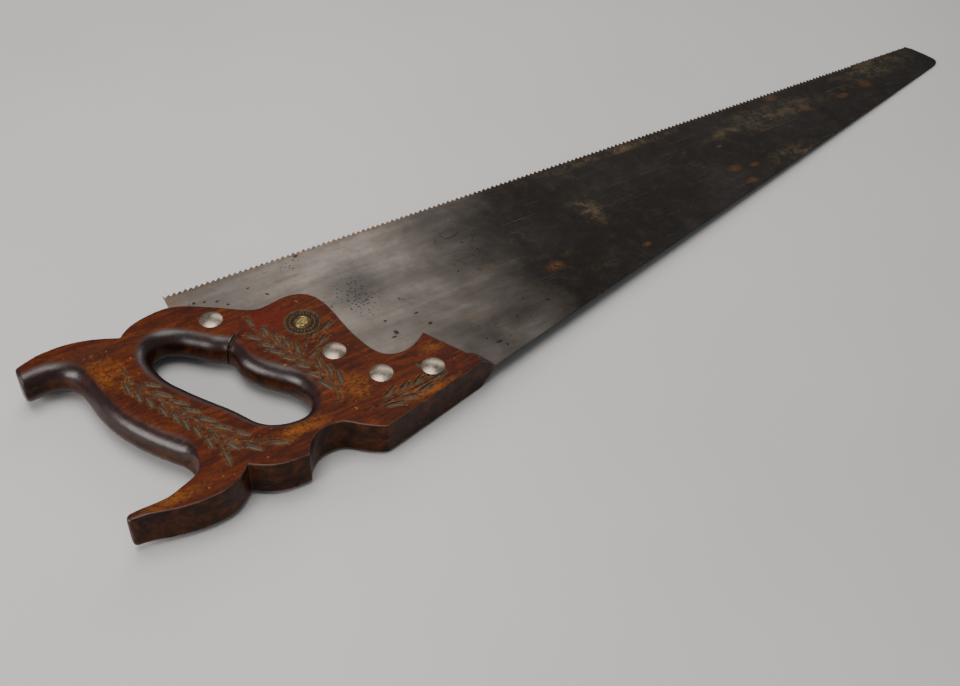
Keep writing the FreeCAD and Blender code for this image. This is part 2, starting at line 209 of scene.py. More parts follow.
def sawSteel():
    # Old spring steel: satin and scratched by the handle, brown-black patina to the toe.
    material, tree, shader = newMaterial("patinatedSpringSteel")
    place = objectPlace(tree)
    fromHeel = addNode(tree, "ShaderNodeSeparateXYZ", None,
                       {"Vector": objectPlace(tree, spot(0, 0))})
    along, across = fromHeel.outputs["X"], fromHeel.outputs["Y"]
    cloud = grainNoise(tree, place, 16, 8, 0.62, 0.4)      # blotches about 60 mm across
    drawn = streaks(tree, (7, 60, 1), 0.12, 5, 0.6, 0.3)   # long soft bands
    fine = grainNoise(tree, place, 130, 8, 0.68, 0.2)      # mottling about 8 mm across
    speck = grainNoise(tree, place, 900, 4, 0.7)           # 1 mm specks
    brushed = streaks(tree, (50, 2600, 1), 0.10, 3, 0.6)
    brushedAcross = streaks(tree, (90, 1900, 1), -0.5, 3, 0.6)

    bright = addRamp(tree, drawn, [(0.3, "#6f6760"), (0.5, "#8f867d"), (0.7, "#aca297")])
    bright = mixColours(tree, calc(tree, "MULTIPLY", brushed, 0.6), bright, paint("#6f6861"))
    mottle = addRamp(tree, fine, [(0.45, 0.0), (0.75, 0.45)])
    bright = mixColours(tree, mottle, bright, paint("#5f574f"))
    patina = addRamp(tree, fine, [(0.3, "#0b0705"), (0.48, "#150f0a"),
                                  (0.62, "#241b12"), (0.78, "#403320")])
    grey = addRamp(tree, fine, [(0.3, "#1b1817"), (0.7, "#38322e")])
    patina = mixColours(tree, addRamp(tree, cloud, [(0.45, 0.0), (0.65, 0.55)]), patina, grey)

    # how far the brown has crept towards the handle: furthest along the saw's back
    ragged = calc(tree, "MULTIPLY", calc(tree, "SUBTRACT", cloud, 0.5), 0.16)
    creep = calc(tree, "ADD", along, ragged)
    creep = calc(tree, "SUBTRACT", creep, calc(tree, "MULTIPLY", across, 0.25))
    dark = addNode(tree, "ShaderNodeMapRange", {"clamp": True, "interpolation_type": "SMOOTHSTEP"},
                   {"Value": creep, "From Min": 0.09, "From Max": 0.25}).outputs[0]
    colour = mixColours(tree, dark, bright, patina)

    # paler tan places: x, y, wide and high in mm
    tanSpots = [(440, -27, 36, 8), (480, -24, 70, 16), (465, -72, 34, 12), (612, -12, 50, 16),
                (284, -52, 14, 22), (330, -7, 80, 5), (187, -74, 26, 6), (157, -108, 16, 5)]
    tan = 0.0
    for x, y, wide, high in tanSpots:
        tan = calc(tree, "MAXIMUM", tan,
                   patch(tree, spot(x, y), wide / 1000, high / 1000, cloud, 0.9, 0.2))
    tan = calc(tree, "MULTIPLY", tan, addRamp(tree, fine, [(0.44, 0.05), (0.66, 0.75)]))
    colour = mixColours(tree, tan, colour, paint("#61533b"))

    # the grey pitted stain beside the handle, and pits by the teeth
    stain = patch(tree, spot(109, -50), 0.030, 0.034, cloud, 0.95)
    colour = mixColours(tree, calc(tree, "MULTIPLY", stain, 0.6), colour, paint("#2f2f33"))
    cells = addNode(tree, "ShaderNodeTexVoronoi", {"feature": "F1"},
                    {"Vector": objectPlace(tree, (0, 0, 0), (1, 1.5, 0), 0.3), "Scale": 400,
                     "Randomness": 1.0}).outputs["Distance"]
    pits = addRamp(tree, calc(tree, "ADD", cells, calc(tree, "MULTIPLY", speck, 0.35)),
                   [(0.40, 1.0), (0.50, 0.0)])
    pitZone = calc(tree, "MULTIPLY", pits, patch(tree, spot(105, -56), 0.018, 0.022, fine, 0.35))
    edgePits = calc(tree, "MULTIPLY", pits, patch(tree, spot(80, -11), 0.010, 0.006, fine, 0.4))
    pitZone = calc(tree, "MAXIMUM", pitZone, edgePits)
    colour = mixColours(tree, calc(tree, "MULTIPLY", pitZone, 0.9), colour, paint("#0b0806"))

    # single dark pits, in the same way
    pitSpots = [(108, -85, 1.6, 1.1), (109, -97, 1.8, 2.2), (106, -100, 1.9, 1.0),
                (128, -88, 1.8, 0.9), (131, -100, 1.9, 1.3), (159, -134, 2.4, 1.2),
                (206, -117, 1.6, 1.2), (20, -17, 1.4, 0.9), (27, -20, 1.8, 1.0),
                (48, -18, 1.6, 0.8), (87, -4, 2.2, 1.6), (14, -15, 1.2, 1.4)]
    loose = addRamp(tree, grainNoise(tree, place, 210, 3, 0.5), [(0.71, 0.0), (0.76, 1.0)])
    for x, y, wide, high in pitSpots:
        loose = calc(tree, "MAXIMUM", loose,
                     patch(tree, spot(x, y), wide / 1000, high / 1000, speck, 0.4, 0.4))
    colour = mixColours(tree, calc(tree, "MULTIPLY", loose, 0.85), colour, paint("#1c120c"))

    # worn remains of an etched ornament: thin winding lines only
    winding = calc(tree, "SUBTRACT", grainNoise(tree, place, 55, 1, 0.4, 1.2), 0.5)
    winding = calc(tree, "ABSOLUTE", winding)
    etched = calc(tree, "MULTIPLY", addRamp(tree, winding, [(0.008, 1.0), (0.018, 0.0)]),
                  patch(tree, spot(188, -46), 0.027, 0.036, cloud, 0.5))
    colour = mixColours(tree, calc(tree, "MULTIPLY", etched, 0.7), colour, paint("#1d1916"))

    # brown rust where water sat, in the same way, and along the teeth
    rustSpots = [(229, -93, 9, 6), (584, -27, 8, 6), (554, -31, 8, 4), (511, -31, 9, 3),
                 (408, -66, 8, 5), (424, -69, 5, 3), (409, -83, 7, 4), (73, -21, 15, 2.5),
                 (416, -39, 4, 2), (498, -7, 8, 5), (296, -104, 5, 3), (4, -9, 9, 13)]
    rust = 0.0
    for x, y, wide, high in rustSpots:
        rust = calc(tree, "MAXIMUM", rust,
                    patch(tree, spot(x, y), wide / 1000, high / 1000, speck, 0.55, 0.28))
    rust = calc(tree, "MULTIPLY", rust, addRamp(tree, speck, [(0.40, 0.15), (0.54, 1.0)]))
    rustColour = addRamp(tree, speck, [(0.35, "#38200f"), (0.55, "#5f3c1e"), (0.75, "#80592e")])
    colour = mixColours(tree, calc(tree, "MULTIPLY", rust, 0.7), colour, rustColour)
    toothBand = addNode(tree, "ShaderNodeMapRange", {"clamp": True},
                        {"Value": across, "From Min": -0.006, "From Max": -0.001}).outputs[0]
    toothRust = calc(tree, "MULTIPLY", toothBand,
                     addRamp(tree, speck, [(0.40, 0.15), (0.58, 0.85)]))
    lighter = calc(tree, "SUBTRACT", 1.0, calc(tree, "MULTIPLY", dark, 0.75))
    toothRust = calc(tree, "MULTIPLY", toothRust, lighter)
    colour = mixColours(tree, toothRust, colour, paint("#6a401c"))

    # fine scratches along the saw
    scratch = addRamp(tree, streaks(tree, (12, 1500, 1), 0.2, 4, 0.7),
                      [(0.655, 0.0), (0.68, 1.0)])
    colour = mixColours(tree, calc(tree, "MULTIPLY", scratch, 0.28), colour, paint("#a0968a"))
    tree.links.new(colour, shader.inputs["Base Color"])

    spoiled = calc(tree, "MAXIMUM", dark, calc(tree, "MAXIMUM", rust, pitZone))
    tree.links.new(calc(tree, "SUBTRACT", 0.95, calc(tree, "MULTIPLY", spoiled, 0.9), True),
                   shader.inputs["Metallic"])
    tree.links.new(calc(tree, "SUBTRACT", 0.35, calc(tree, "MULTIPLY", dark, 0.26)),
                   shader.inputs["Specular IOR Level"])
    rough = calc(tree, "ADD", calc(tree, "MULTIPLY", spoiled, 0.16),
                 calc(tree, "MULTIPLY", fine, 0.2))
    rough = calc(tree, "ADD", rough, calc(tree, "MULTIPLY", stain, 0.12))
    tree.links.new(calc(tree, "ADD", rough, 0.27), shader.inputs["Roughness"])
    high = calc(tree, "ADD", calc(tree, "MULTIPLY", brushed, 0.3),
                calc(tree, "MULTIPLY", brushedAcross, 0.15))
    high = calc(tree, "ADD", high, calc(tree, "MULTIPLY", fine, 0.7))
    sunk = calc(tree, "MULTIPLY", calc(tree, "MAXIMUM", pitZone, loose), 1.2)
    high = calc(tree, "SUBTRACT", high, sunk)
    addBump(tree, shader, high, 0.25, 0.0004)
    return material


def handleWood():
    # Old varnished apple or beech: orange-brown worn cheeks, wine-dark glossy rounded parts.
    material, tree, shader = newMaterial("oldVarnishedHardwood")
    place = objectPlace(tree)
    figure = streaks(tree, (34, 190, 90), 0.16, 8, 0.66, 1.2)    # the wood's growth
    pores = streaks(tree, (420, 2400, 1400), 0.16, 3, 0.6)       # 0.3 mm wide
    cloud = grainNoise(tree, place, 30, 6, 0.6, 0.5)             # 35 mm clouds in the varnish
    blotch = grainNoise(tree, place, 110, 6, 0.66, 0.8)          # 9 mm blotches
    fleck = streaks(tree, (420, 700, 600), 0.3, 5, 0.72)         # 2 mm flecks

    warm = addRamp(tree, figure, [(0.30, "#2e1003"), (0.47, "#4d1e05"),
                                  (0.60, "#662c07"), (0.76, "#80400d")])
    red = addRamp(tree, figure, [(0.3, "#270a03"), (0.5, "#421505"), (0.72, "#5e2407")])
    cheek = mixColours(tree, addRamp(tree, cloud, [(0.42, 0.0), (0.62, 0.8)]), warm, red)
    redStain = patch(tree, spot(42, -58), 0.026, 0.016, blotch, 0.9)
    cheek = mixColours(tree, redStain, cheek, paint("#5e1a07"))
    dull = patch(tree, spot(-55, -38), 0.034, 0.013, blotch, 0.9)     # the dull lower horn
    cheek = mixColours(tree, calc(tree, "MULTIPLY", dull, 0.6), cheek, paint("#43261a"))
    # worn ochre places: x, y, wide and high in mm
    ochreSpots = [(62, -134, 15, 13), (22, -147, 24, 6), (-53, -60, 13, 17), (100, -157, 30, 5),
                  (-50, -158, 20, 5), (-44, -116, 5, 16), (114, -128, 10, 6)]
    ochreZone = 0.0
    for x, y, wide, high in ochreSpots:
        ochreZone = calc(tree, "MAXIMUM", ochreZone,
                         patch(tree, spot(x, y), wide / 1000, high / 1000, blotch, 0.9, 0.3))
    ochreZone = calc(tree, "MULTIPLY", ochreZone,
                     addRamp(tree, fleck, [(0.38, 0.15), (0.62, 0.75)]))
    cheek = mixColours(tree, ochreZone, cheek, paint("#8e5519"))
    for grain, stops, dirt in ((fleck, [(0.30, 0.85), (0.48, 0.0)], "#180802"),
                               (blotch, [(0.52, 0.0), (0.72, 0.5)], "#2b1006"),
                               (pores, [(0.58, 0.0), (0.70, 0.5)], "#190802")):
        cheek = mixColours(tree, addRamp(tree, grain, stops), cheek, paint(dirt))

    # the rounded parts hold more and darker varnish
    deep = addRamp(tree, figure, [(0.3, "#0e0301"), (0.52, "#200803"), (0.74, "#3a1306")])
    facing = addNode(tree, "ShaderNodeNewGeometry")
    normal = addNode(tree, "ShaderNodeSeparateXYZ", None, {"Vector": facing.outputs["Normal"]})
    flatness = calc(tree, "ABSOLUTE", normal.outputs["Z"])
    side = addRamp(tree, flatness, [(0.90, 1.0), (0.99, 0.0)])
    colour = mixColours(tree, side, cheek, deep)
    wall = addRamp(tree, flatness, [(0.10, 1.0), (0.50, 0.0)])    # upright sides, rubbed matt
    wallColour = addRamp(tree, blotch, [(0.35, "#1b0a03"), (0.5, "#371806"), (0.68, "#5a2d0c")])
    colour = mixColours(tree, calc(tree, "MULTIPLY", wall, 0.85), colour, wallColour)

    # edges rubbed back to pale wood, concave creases darkened with painted shade
    edge = addRamp(tree, facing.outputs["Pointiness"], [(0.516, 0.0), (0.55, 1.0)])
    edge = calc(tree, "MULTIPLY", edge, addRamp(tree, blotch, [(0.36, 0.1), (0.58, 1.0)]))
    colour = mixColours(tree, calc(tree, "MULTIPLY", edge, 0.45), colour, paint("#94602f"))
    # painted shade: concave creases and hollows painted near-black
    creaseShade = addRamp(tree, facing.outputs["Pointiness"], [(0.44, 1.0), (0.485, 0.0)])
    colour = mixColours(tree, calc(tree, "MULTIPLY", creaseShade, 0.8), colour, paint("#0c0502"))
    # small dings and pale chips
    dings = addRamp(tree, grainNoise(tree, place, 240, 3, 0.6), [(0.70, 0.0), (0.74, 1.0)])
    colour = mixColours(tree, calc(tree, "MULTIPLY", dings, 0.55), colour, paint("#b4793a"))
    scratch = addRamp(tree, streaks(tree, (60, 1500, 60), -0.5, 4, 0.7),
                      [(0.66, 0.0), (0.70, 1.0)])
    colour = mixColours(tree, calc(tree, "MULTIPLY", scratch, 0.25), colour, paint("#a06a34"))
    green = patch(tree, spot(101.0, -136.5), 0.0013, 0.0024, fleck, 0.6)    # verdigris by a screw
    colour = mixColours(tree, calc(tree, "MULTIPLY", green, 0.85), colour, paint("#1c4a38"))
    tree.links.new(colour, shader.inputs["Base Color"])

    rough = calc(tree, "ADD", calc(tree, "MULTIPLY", fleck, 0.25), 0.38)
    rough = calc(tree, "SUBTRACT", rough, calc(tree, "MULTIPLY", side, 0.20))
    rough = calc(tree, "ADD", rough, calc(tree, "MULTIPLY", dings, 0.2))
    tree.links.new(rough, shader.inputs["Roughness"])
    shader.inputs["IOR"].default_value = 1.5
    level = calc(tree, "ADD", 0.12, calc(tree, "MULTIPLY", side, 0.42))   # cheeks are rubbed duller
    level = calc(tree, "SUBTRACT", level, calc(tree, "MULTIPLY", wall, 0.42))
    tree.links.new(level, shader.inputs["Specular IOR Level"])
    high = calc(tree, "ADD", calc(tree, "MULTIPLY", figure, 0.4),
                calc(tree, "MULTIPLY", pores, -0.35))
    high = calc(tree, "SUBTRACT", high, calc(tree, "MULTIPLY", dings, 0.8))
    high = calc(tree, "SUBTRACT", high, calc(tree, "MULTIPLY", scratch, 0.3))
    addBump(tree, shader, high, 0.22, 0.0004)
    return material


def carvedWood():
    # Cut wood of the leaves, full of grey dirt, its ribs rubbed paler.
    material, tree, shader = newMaterial("dirtyCarvedWood")
    place = objectPlace(tree)
    fleck = grainNoise(tree, place, 600, 5, 0.7)
    colour = addRamp(tree, fleck, [(0.35, "#20140c"), (0.5, "#3f2d1d"), (0.68, "#60482f")])
    # painted shade: the cut walls just below the cheek are painted near-black, a dark outline round
    # each leaf
    height = addNode(tree, "ShaderNodeSeparateXYZ", None,
                     {"Vector": objectPlace(tree, spot(0, 0, cheekHigh))})
    shadedCutRim = addNode(tree, "ShaderNodeMapRange", {"clamp": True},
                  {"Value": height.outputs["Z"],
                   "From Min": -0.00038, "From Max": -0.00012}).outputs[0]
    colour = mixColours(tree, calc(tree, "MULTIPLY", shadedCutRim, 0.75), colour, paint("#140a05"))
    facing = addNode(tree, "ShaderNodeNewGeometry")
    rib = addRamp(tree, facing.outputs["Pointiness"], [(0.51, 0.0), (0.58, 1.0)])
    colour = mixColours(tree, calc(tree, "MULTIPLY", rib, 0.6), colour, paint("#77603f"))
    tree.links.new(colour, shader.inputs["Base Color"])
    shader.inputs["Roughness"].default_value = 0.55
    shader.inputs["IOR"].default_value = 1.5
    shader.inputs["Specular IOR Level"].default_value = 0.35
    addBump(tree, shader, fleck, 0.3, 0.0003)
    return material


def nickelSilver():
    # Turned nickel silver, buffed by years of hands: warm grey, soft shine, fine scratches.
    material, tree, shader = newMaterial("buffedNickelSilver")
    place = objectPlace(tree)
    smear = grainNoise(tree, place, 300, 6, 0.65, 0.6)
    lines = streaks(tree, (400, 5000, 1), 0.7, 3, 0.6)
    colour = addRamp(tree, smear, [(0.32, "#7c705f"), (0.5, "#94877a"), (0.7, "#a99c8c")])
    verdigris = patch(tree, spot(101.3, -136.2), 0.0022, 0.0028, smear, 0.6)
    colour = mixColours(tree, calc(tree, "MULTIPLY", verdigris, 0.85), colour, paint("#2d4a3c"))
    tree.links.new(colour, shader.inputs["Base Color"])
    metal = calc(tree, "SUBTRACT", 1.0, calc(tree, "MULTIPLY", verdigris, 0.8))
    tree.links.new(metal, shader.inputs["Metallic"])
    rough = calc(tree, "ADD", calc(tree, "MULTIPLY", smear, 0.22), 0.22)
    tree.links.new(rough, shader.inputs["Roughness"])
    high = calc(tree, "ADD", calc(tree, "MULTIPLY", lines, 0.4), smear)
    addBump(tree, shader, high, 0.12, 0.0003)
    return material


def medallionBrass():
    # Struck brass, rubbed on the boss and black with dirt round the beads.
    material, tree, shader = newMaterial("dirtyStruckBrass")
    place = objectPlace(tree)
    smear = grainNoise(tree, place, 700, 6, 0.7)
    rubbed = addRamp(tree, smear, [(0.3, "#4a3a20"), (0.5, "#8a7548"), (0.7, "#b8a372")])
    grime = addRamp(tree, smear, [(0.35, "#24160c"), (0.55, "#432c17"), (0.75, "#6c4b27")])
    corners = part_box("medallion_screw")
    middle = (corners[0] + corners[1]) / 2
    away = distance(tree, objectPlace(tree, middle, (1, 1, 0)))
    outer = addNode(tree, "ShaderNodeMapRange", {"clamp": True},
                    {"Value": away, "From Min": 0.0046, "From Max": 0.0054}).outputs[0]
    facing = addNode(tree, "ShaderNodeNewGeometry")
    proud = addRamp(tree, facing.outputs["Pointiness"], [(0.50, 0.0), (0.60, 1.0)])
    dirty = calc(tree, "SUBTRACT", outer, calc(tree, "MULTIPLY", proud, 0.22), True)
    colour = mixColours(tree, dirty, rubbed, grime)
    pit = addRamp(tree, facing.outputs["Pointiness"], [(0.42, 1.0), (0.49, 0.0)])
    colour = mixColours(tree, calc(tree, "MULTIPLY", pit, 0.6), colour, paint("#140c06"))
    tree.links.new(colour, shader.inputs["Base Color"])
    metal = calc(tree, "SUBTRACT", 0.95, calc(tree, "MULTIPLY", dirty, 0.75))
    tree.links.new(metal, shader.inputs["Metallic"])
    shader.inputs["Specular IOR Level"].default_value = 0.3
    rough = calc(tree, "ADD", calc(tree, "MULTIPLY", dirty, 0.25), 0.32)
    tree.links.new(rough, shader.inputs["Roughness"])
    addBump(tree, shader, smear, 0.3, 0.0003)
    return material


def floorPaint():
    # Pale matt board, barely uneven, so that only the saw is looked at.
    material, tree, shader = newMaterial("palePaintedBoard")
    tone = grainNoise(tree, objectPlace(tree), 3, 3, 0.5)
    colour = addRamp(tree, tone, [(0.3, "#c9c8c6"), (0.7, "#d2d1cf")])
    tree.links.new(colour, shader.inputs["Base Color"])
    shader.inputs["Roughness"].default_value = 0.65
    return material


steel = sawSteel()
wood = handleWood()
carved = carvedWood()
silver = nickelSilver()
brass = medallionBrass()
print("finishes made")

bladeValues = {"toothPitch": 660.4 / 182, "toothSet": 0.22,    # mm, each way
               "tipDepth": 0.3,                                # the tips' band below the tooth line
               "lastTooth": 661, "wornFrom": 596,              # teeth near the toe are almost gone
               "gulletLow": -2.6, "gulletHigh": -1.5, "wornRise": 1.4}


def makeBlade():
    values = bladeValues
    blade = copyOfNode("saw_plate", "sawBlade")

    def isTip(vertex, remainder):
        x, y, _ = setOutPlace(vertex)
        return (y > -values["tipDepth"] and x < values["lastTooth"]
                and round(x / values["toothPitch"]) % 2 == remainder)

    def isWornGullet(vertex):
        x, y, _ = setOutPlace(vertex)
        return (values["wornFrom"] < x < values["lastTooth"]
                and values["gulletLow"] < y < values["gulletHigh"])

    for remainder, side in ((0, 1), (1, -1)):
        pickVertices(blade, lambda vertex: isTip(vertex, remainder))
        bpy.ops.transform.translate(value=(0, 0, side * values["toothSet"] / 1000))
        bpy.ops.object.mode_set(mode="OBJECT")
    pickVertices(blade, isWornGullet)
    bpy.ops.transform.translate(value=(0, values["wornRise"] / 1000, 0))
    bpy.ops.object.mode_set(mode="OBJECT")
    smooth(blade, 25)
    showAs(blade, steel, "plate_steel", "saw_plate")
    return blade


blade = makeBlade()
print("blade made, its teeth set", len(blade.data.polygons))

handleValues = {
    "voxel": 0.0005, "keep": 0.26,                        # metres, share of faces kept
    "waver": 0.00022, "waverSize": 0.012, "waverMiddle": 0.62,
    "easeTurns": 10, "hornTurns": 150,                    # smoothing turns
    "hornEnd": -82.0, "hornFade": 14.0,                   # mm from here on
    "upperEnd": (-60.0, -150.0), "upperLonger": 6.0, "upperReach": 8.2, "upperSink": 0.4,
    "seatRadius": 8.3, "medallionSeat": 12.4,             # kept sharp round the screws
    "slotHalf": 1.3, "slotStart": -5,                     # and at the plate's slot
    "leafWide": 2.1, "leafDeep": 0.85, "leafStretch": 1.12, "leafSplay": 0.05, "ribGap": 0.85,
    "stemWide": 1.5, "stemDeep": 0.7, "stemStretch": 1.5,
}
nickValues = {"spot": (13.3, -69.1), "turn": math.radians(36),    # mm, but for the turn
              "ring": 10.7, "arm": 10.8, "thick": 0.5}
screwSpots = [(14.2, -44.6), (65.1, -102.8), (80.1, -131.6), (108.2, -141.1)]
medallionSpot = (59.7, -72.4)
# carved sprays, mm: a stem's points, then leaves as base and tip
sprays = {
    "grip": {
        "stems": [[(-44, -56), (-43, -66), (-42, -71), (-38.5, -81.5), (-34.4, -90.3),
                   (-30.6, -98.8), (-27, -106.3), (-23, -113.8), (-20, -122), (-17.8, -127.5),
                   (-15, -131.3), (-10, -137), (-3.8, -142), (2.5, -146.3)],
                  [(-17.8, -127.5), (-18.2, -132.5), (-17.8, -138)]],
        "leaves": [(-45.6, -68, -47, -79.7), (-43.2, -77.4, -43.4, -88),
                   (-39.4, -85.6, -39.8, -95), (-35.9, -94.4, -35, -104),
                   (-31.9, -101.3, -31, -112.5), (-28.1, -108.8, -28.8, -119.4),
                   (-25, -116.9, -25.3, -127), (-22, -126.3, -22.8, -137.5),
                   (-38.5, -73.8, -29.6, -82.1), (-35.5, -82.6, -27.3, -92.6),
                   (-29.8, -93.1, -21.9, -102), (-26.9, -101.9, -18.1, -110.6),
                   (-21.9, -111.5, -13.8, -120.6), (-18.1, -120.6, -8.8, -129.4),
                   (-9.6, -130.5, -1.9, -138.1), (-15.6, -134.8, -10.6, -144.8),
                   (-8.6, -141.8, -0.3, -151), (-17.6, -139.4, -19.4, -152.5),
                   (2.5, -146.3, 13.8, -152.8)]},
    "cheek": {
        "stems": [[(32.1, -52.9), (32.4, -63.3), (35.2, -71.6), (38.6, -81.2), (42.8, -90.9),
                   (46.2, -100.5), (50.8, -109.2), (52.9, -117.5), (53.8, -125.8), (52.9, -132.5),
                   (50.8, -139.2)],
                  [(46.2, -100.5), (49, -95.7), (53.1, -90.9), (57.2, -84.7)]],
        "leaves": [(25.5, -66, 33.1, -74.3), (29.7, -75.2, 37.4, -84.2), (31.4, -82.6, 40, -91.4),
                   (36.6, -91.4, 43, -99), (40, -100.2, 47.6, -108.4),
                   (43.3, -109.5, 49.6, -118.5), (46.7, -118.7, 51.2, -130),
                   (38.3, -63.5, 37.6, -74.2), (41.4, -72.4, 41, -83), (44.9, -79, 44.1, -88.7),
                   (49, -85.4, 46.9, -95.6), (55, -102, 52.5, -112), (57.5, -110.8, 55.4, -120),
                   (60, -117.5, 56.9, -129.5), (76, -79, 66, -84.4), (68.4, -88.4, 58.8, -94.6),
                   (59, -96.9, 49.8, -101.2), (64.3, -81.5, 58.2, -87.2), (32.6, -53, 33.4, -62)]},
    "back": {
        "stems": [[(65, -153.3), (85, -151.7), (101.7, -150), (112, -148)]],
        "leaves": [(82.5, -144.8, 71.7, -149.4), (91.3, -144.8, 82, -149.2),
                   (100.3, -144.4, 91, -149.2), (109.6, -144.6, 100.5, -147.7),
                   (81.7, -158.4, 70, -154.8), (91, -156.9, 80, -153.8),
                   (101.9, -152.9, 90.6, -154.9), (112.5, -148.3, 101.4, -151.2)]},
}
cutterLength = 10.0    # mm, before a copy is stretched to its leaf or stem


def makeLeafCutter(name, wideMm, deepMm):
    # a spindle pointed at both ends, lying along X
    bpy.ops.mesh.primitive_uv_sphere_add(segments=12, ring_count=10, radius=1, location=(0, 0, 0))
    cutter = bpy.context.active_object
    cutter.name = name
    pickVertices(cutter, lambda vertex: 0.75 < abs(vertex.co.z) < 0.99)
    bpy.ops.transform.resize(value=(0.55, 0.55, 1))    # draws the ends to points
    bpy.ops.mesh.select_all(action="SELECT")
    bpy.ops.transform.rotate(value=math.pi / 2, orient_axis="Y", center_override=(0, 0, 0))
    bpy.ops.transform.resize(value=(cutterLength / 2000, wideMm / 2000, deepMm / 1000))
    bpy.ops.object.mode_set(mode="OBJECT")
    return cutter


def placeCopy(cutter, start, end, name, aside=0.0, stretch=1.0, splay=0.0):
    base, tip = Vector(start), Vector(end)
    run = tip - base
    copy = bpy.data.objects.new(name, cutter.data.copy())
    bpy.context.scene.collection.objects.link(copy)
    middle = (base + tip) / 2 + Vector((-run.y, run.x)).normalized() * aside
    copy.location = spot(middle.x, middle.y, cheekHigh)
    copy.rotation_euler = (0, 0, math.atan2(run.y, run.x) + splay)
    copy.scale = (run.length * stretch / cutterLength, 1, 1)
    return copy


def makeCarvingCutters():
    # each leaf is two cuts side by side, which leave its rib standing between them
    values = handleValues
    leaf = makeLeafCutter("leafCutter", values["leafWide"], values["leafDeep"])
    stem = makeLeafCutter("stemCutter", values["stemWide"], values["stemDeep"])
    cutters = []
    for spray in sprays.values():
        for x0, y0, x1, y1 in spray["leaves"]:
            for side in (-1, 1):
                cutters.append(placeCopy(leaf, (x0, y0), (x1, y1), "leaf", side * values["ribGap"],
                                         values["leafStretch"], side * -values["leafSplay"]))
        for points in spray["stems"]:
            for a, b in zip(points, points[1:]):
                cutters.append(placeCopy(stem, a, b, "stem", 0.0, values["stemStretch"]))
    for pattern in (leaf, stem):
        bpy.data.objects.remove(pattern)
    return joinPieces(cutters, "carvingCutters")


def joinPieces(pieces, name):
    bpy.ops.object.select_all(action="DESELECT")
    for piece in pieces:
        piece.select_set(True)
    bpy.context.view_layer.objects.active = pieces[0]
    bpy.ops.object.join()
    joined = bpy.context.active_object
    joined.name = name
    settle(joined)
    return joined


def makeNickCutter():
    # half a ring, for a fine groove that follows the rounding across the hand hole's rim
    bpy.ops.mesh.primitive_circle_add(vertices=10, radius=nickValues["thick"] / 1000,
                                      fill_type="NGON",
                                      location=(-nickValues["arm"] / 1000, 0, 0))
    cutter = bpy.context.active_object
    cutter.name = "nickCutter"
    settle(cutter)
    bpy.ops.object.mode_set(mode="EDIT")
    bpy.ops.mesh.select_all(action="SELECT")
    bpy.ops.transform.rotate(value=math.pi / 2, orient_axis="Y", center_override=(0, 0, 0))
    bpy.ops.mesh.spin(steps=28, angle=-math.pi, center=(0, 0, 0), axis=(0, 1, 0))
    bpy.ops.mesh.select_all(action="SELECT")
    bpy.ops.mesh.normals_make_consistent(inside=False)
    bpy.ops.object.mode_set(mode="OBJECT")
    turn = nickValues["turn"]
    into = Vector((math.cos(turn), math.sin(turn)))
    middle = Vector(nickValues["spot"]) + into * nickValues["ring"]
    cutter.rotation_euler = (0, 0, turn)
    cutter.location = spot(middle.x, middle.y)
    settle(cutter)
    return cutter


def cutAway(piece, cutter, material, own=False):
    cutter.data.materials.clear()
    cutter.data.materials.append(material)
    cut = piece.modifiers.new("cut", "BOOLEAN")
    cut.operation = "DIFFERENCE"
    cut.solver = "EXACT"
    cut.use_self = own
    cut.material_mode = "TRANSFER"
    cut.object = cutter
    applyAll(piece)
    bpy.data.objects.remove(cutter)


def isKeptSharp(x, y, z):
    # the plate's slot and the seats of the screws
    if abs(z) < handleValues["slotHalf"] and x > handleValues["slotStart"]:
        return True
    if any(math.hypot(x - a, y - b) < handleValues["seatRadius"] for a, b in screwSpots):
        return True
    return math.hypot(x - medallionSpot[0], y - medallionSpot[1]) < handleValues["medallionSeat"]


def easeGroups(piece):
    # all the rest is eased a little, and the horns' ends much more
    eased = piece.vertex_groups.new(name="eased")
    hornEnd = piece.vertex_groups.new(name="hornEnd")
    upperX, upperY = handleValues["upperEnd"]
    easedOnes = []
    for vertex in piece.data.vertices:
        x, y, z = setOutPlace(vertex)
        if isKeptSharp(x, y, z):
            continue
        easedOnes.append(vertex.index)
        start = upperX if y < upperY else handleValues["hornEnd"]
        if x < start:
            hornEnd.add([vertex.index], min(1.0, (start - x) / handleValues["hornFade"]), "REPLACE")
    eased.add(easedOnes, 1.0, "ADD")


def lengthenUpperHorn(handle):
    # drawn out a little, for its end is domed afterwards
    limit = spot(*handleValues["upperEnd"])
    reach = limit.x - handleValues["upperReach"] / 1000
    pickVertices(handle, lambda vertex: vertex.co.x < reach and vertex.co.y < limit.y)
    bpy.ops.transform.translate(value=(-handleValues["upperLonger"] / 1000,
                                       -handleValues["upperSink"] / 1000, 0))
    bpy.ops.object.mode_set(mode="OBJECT")


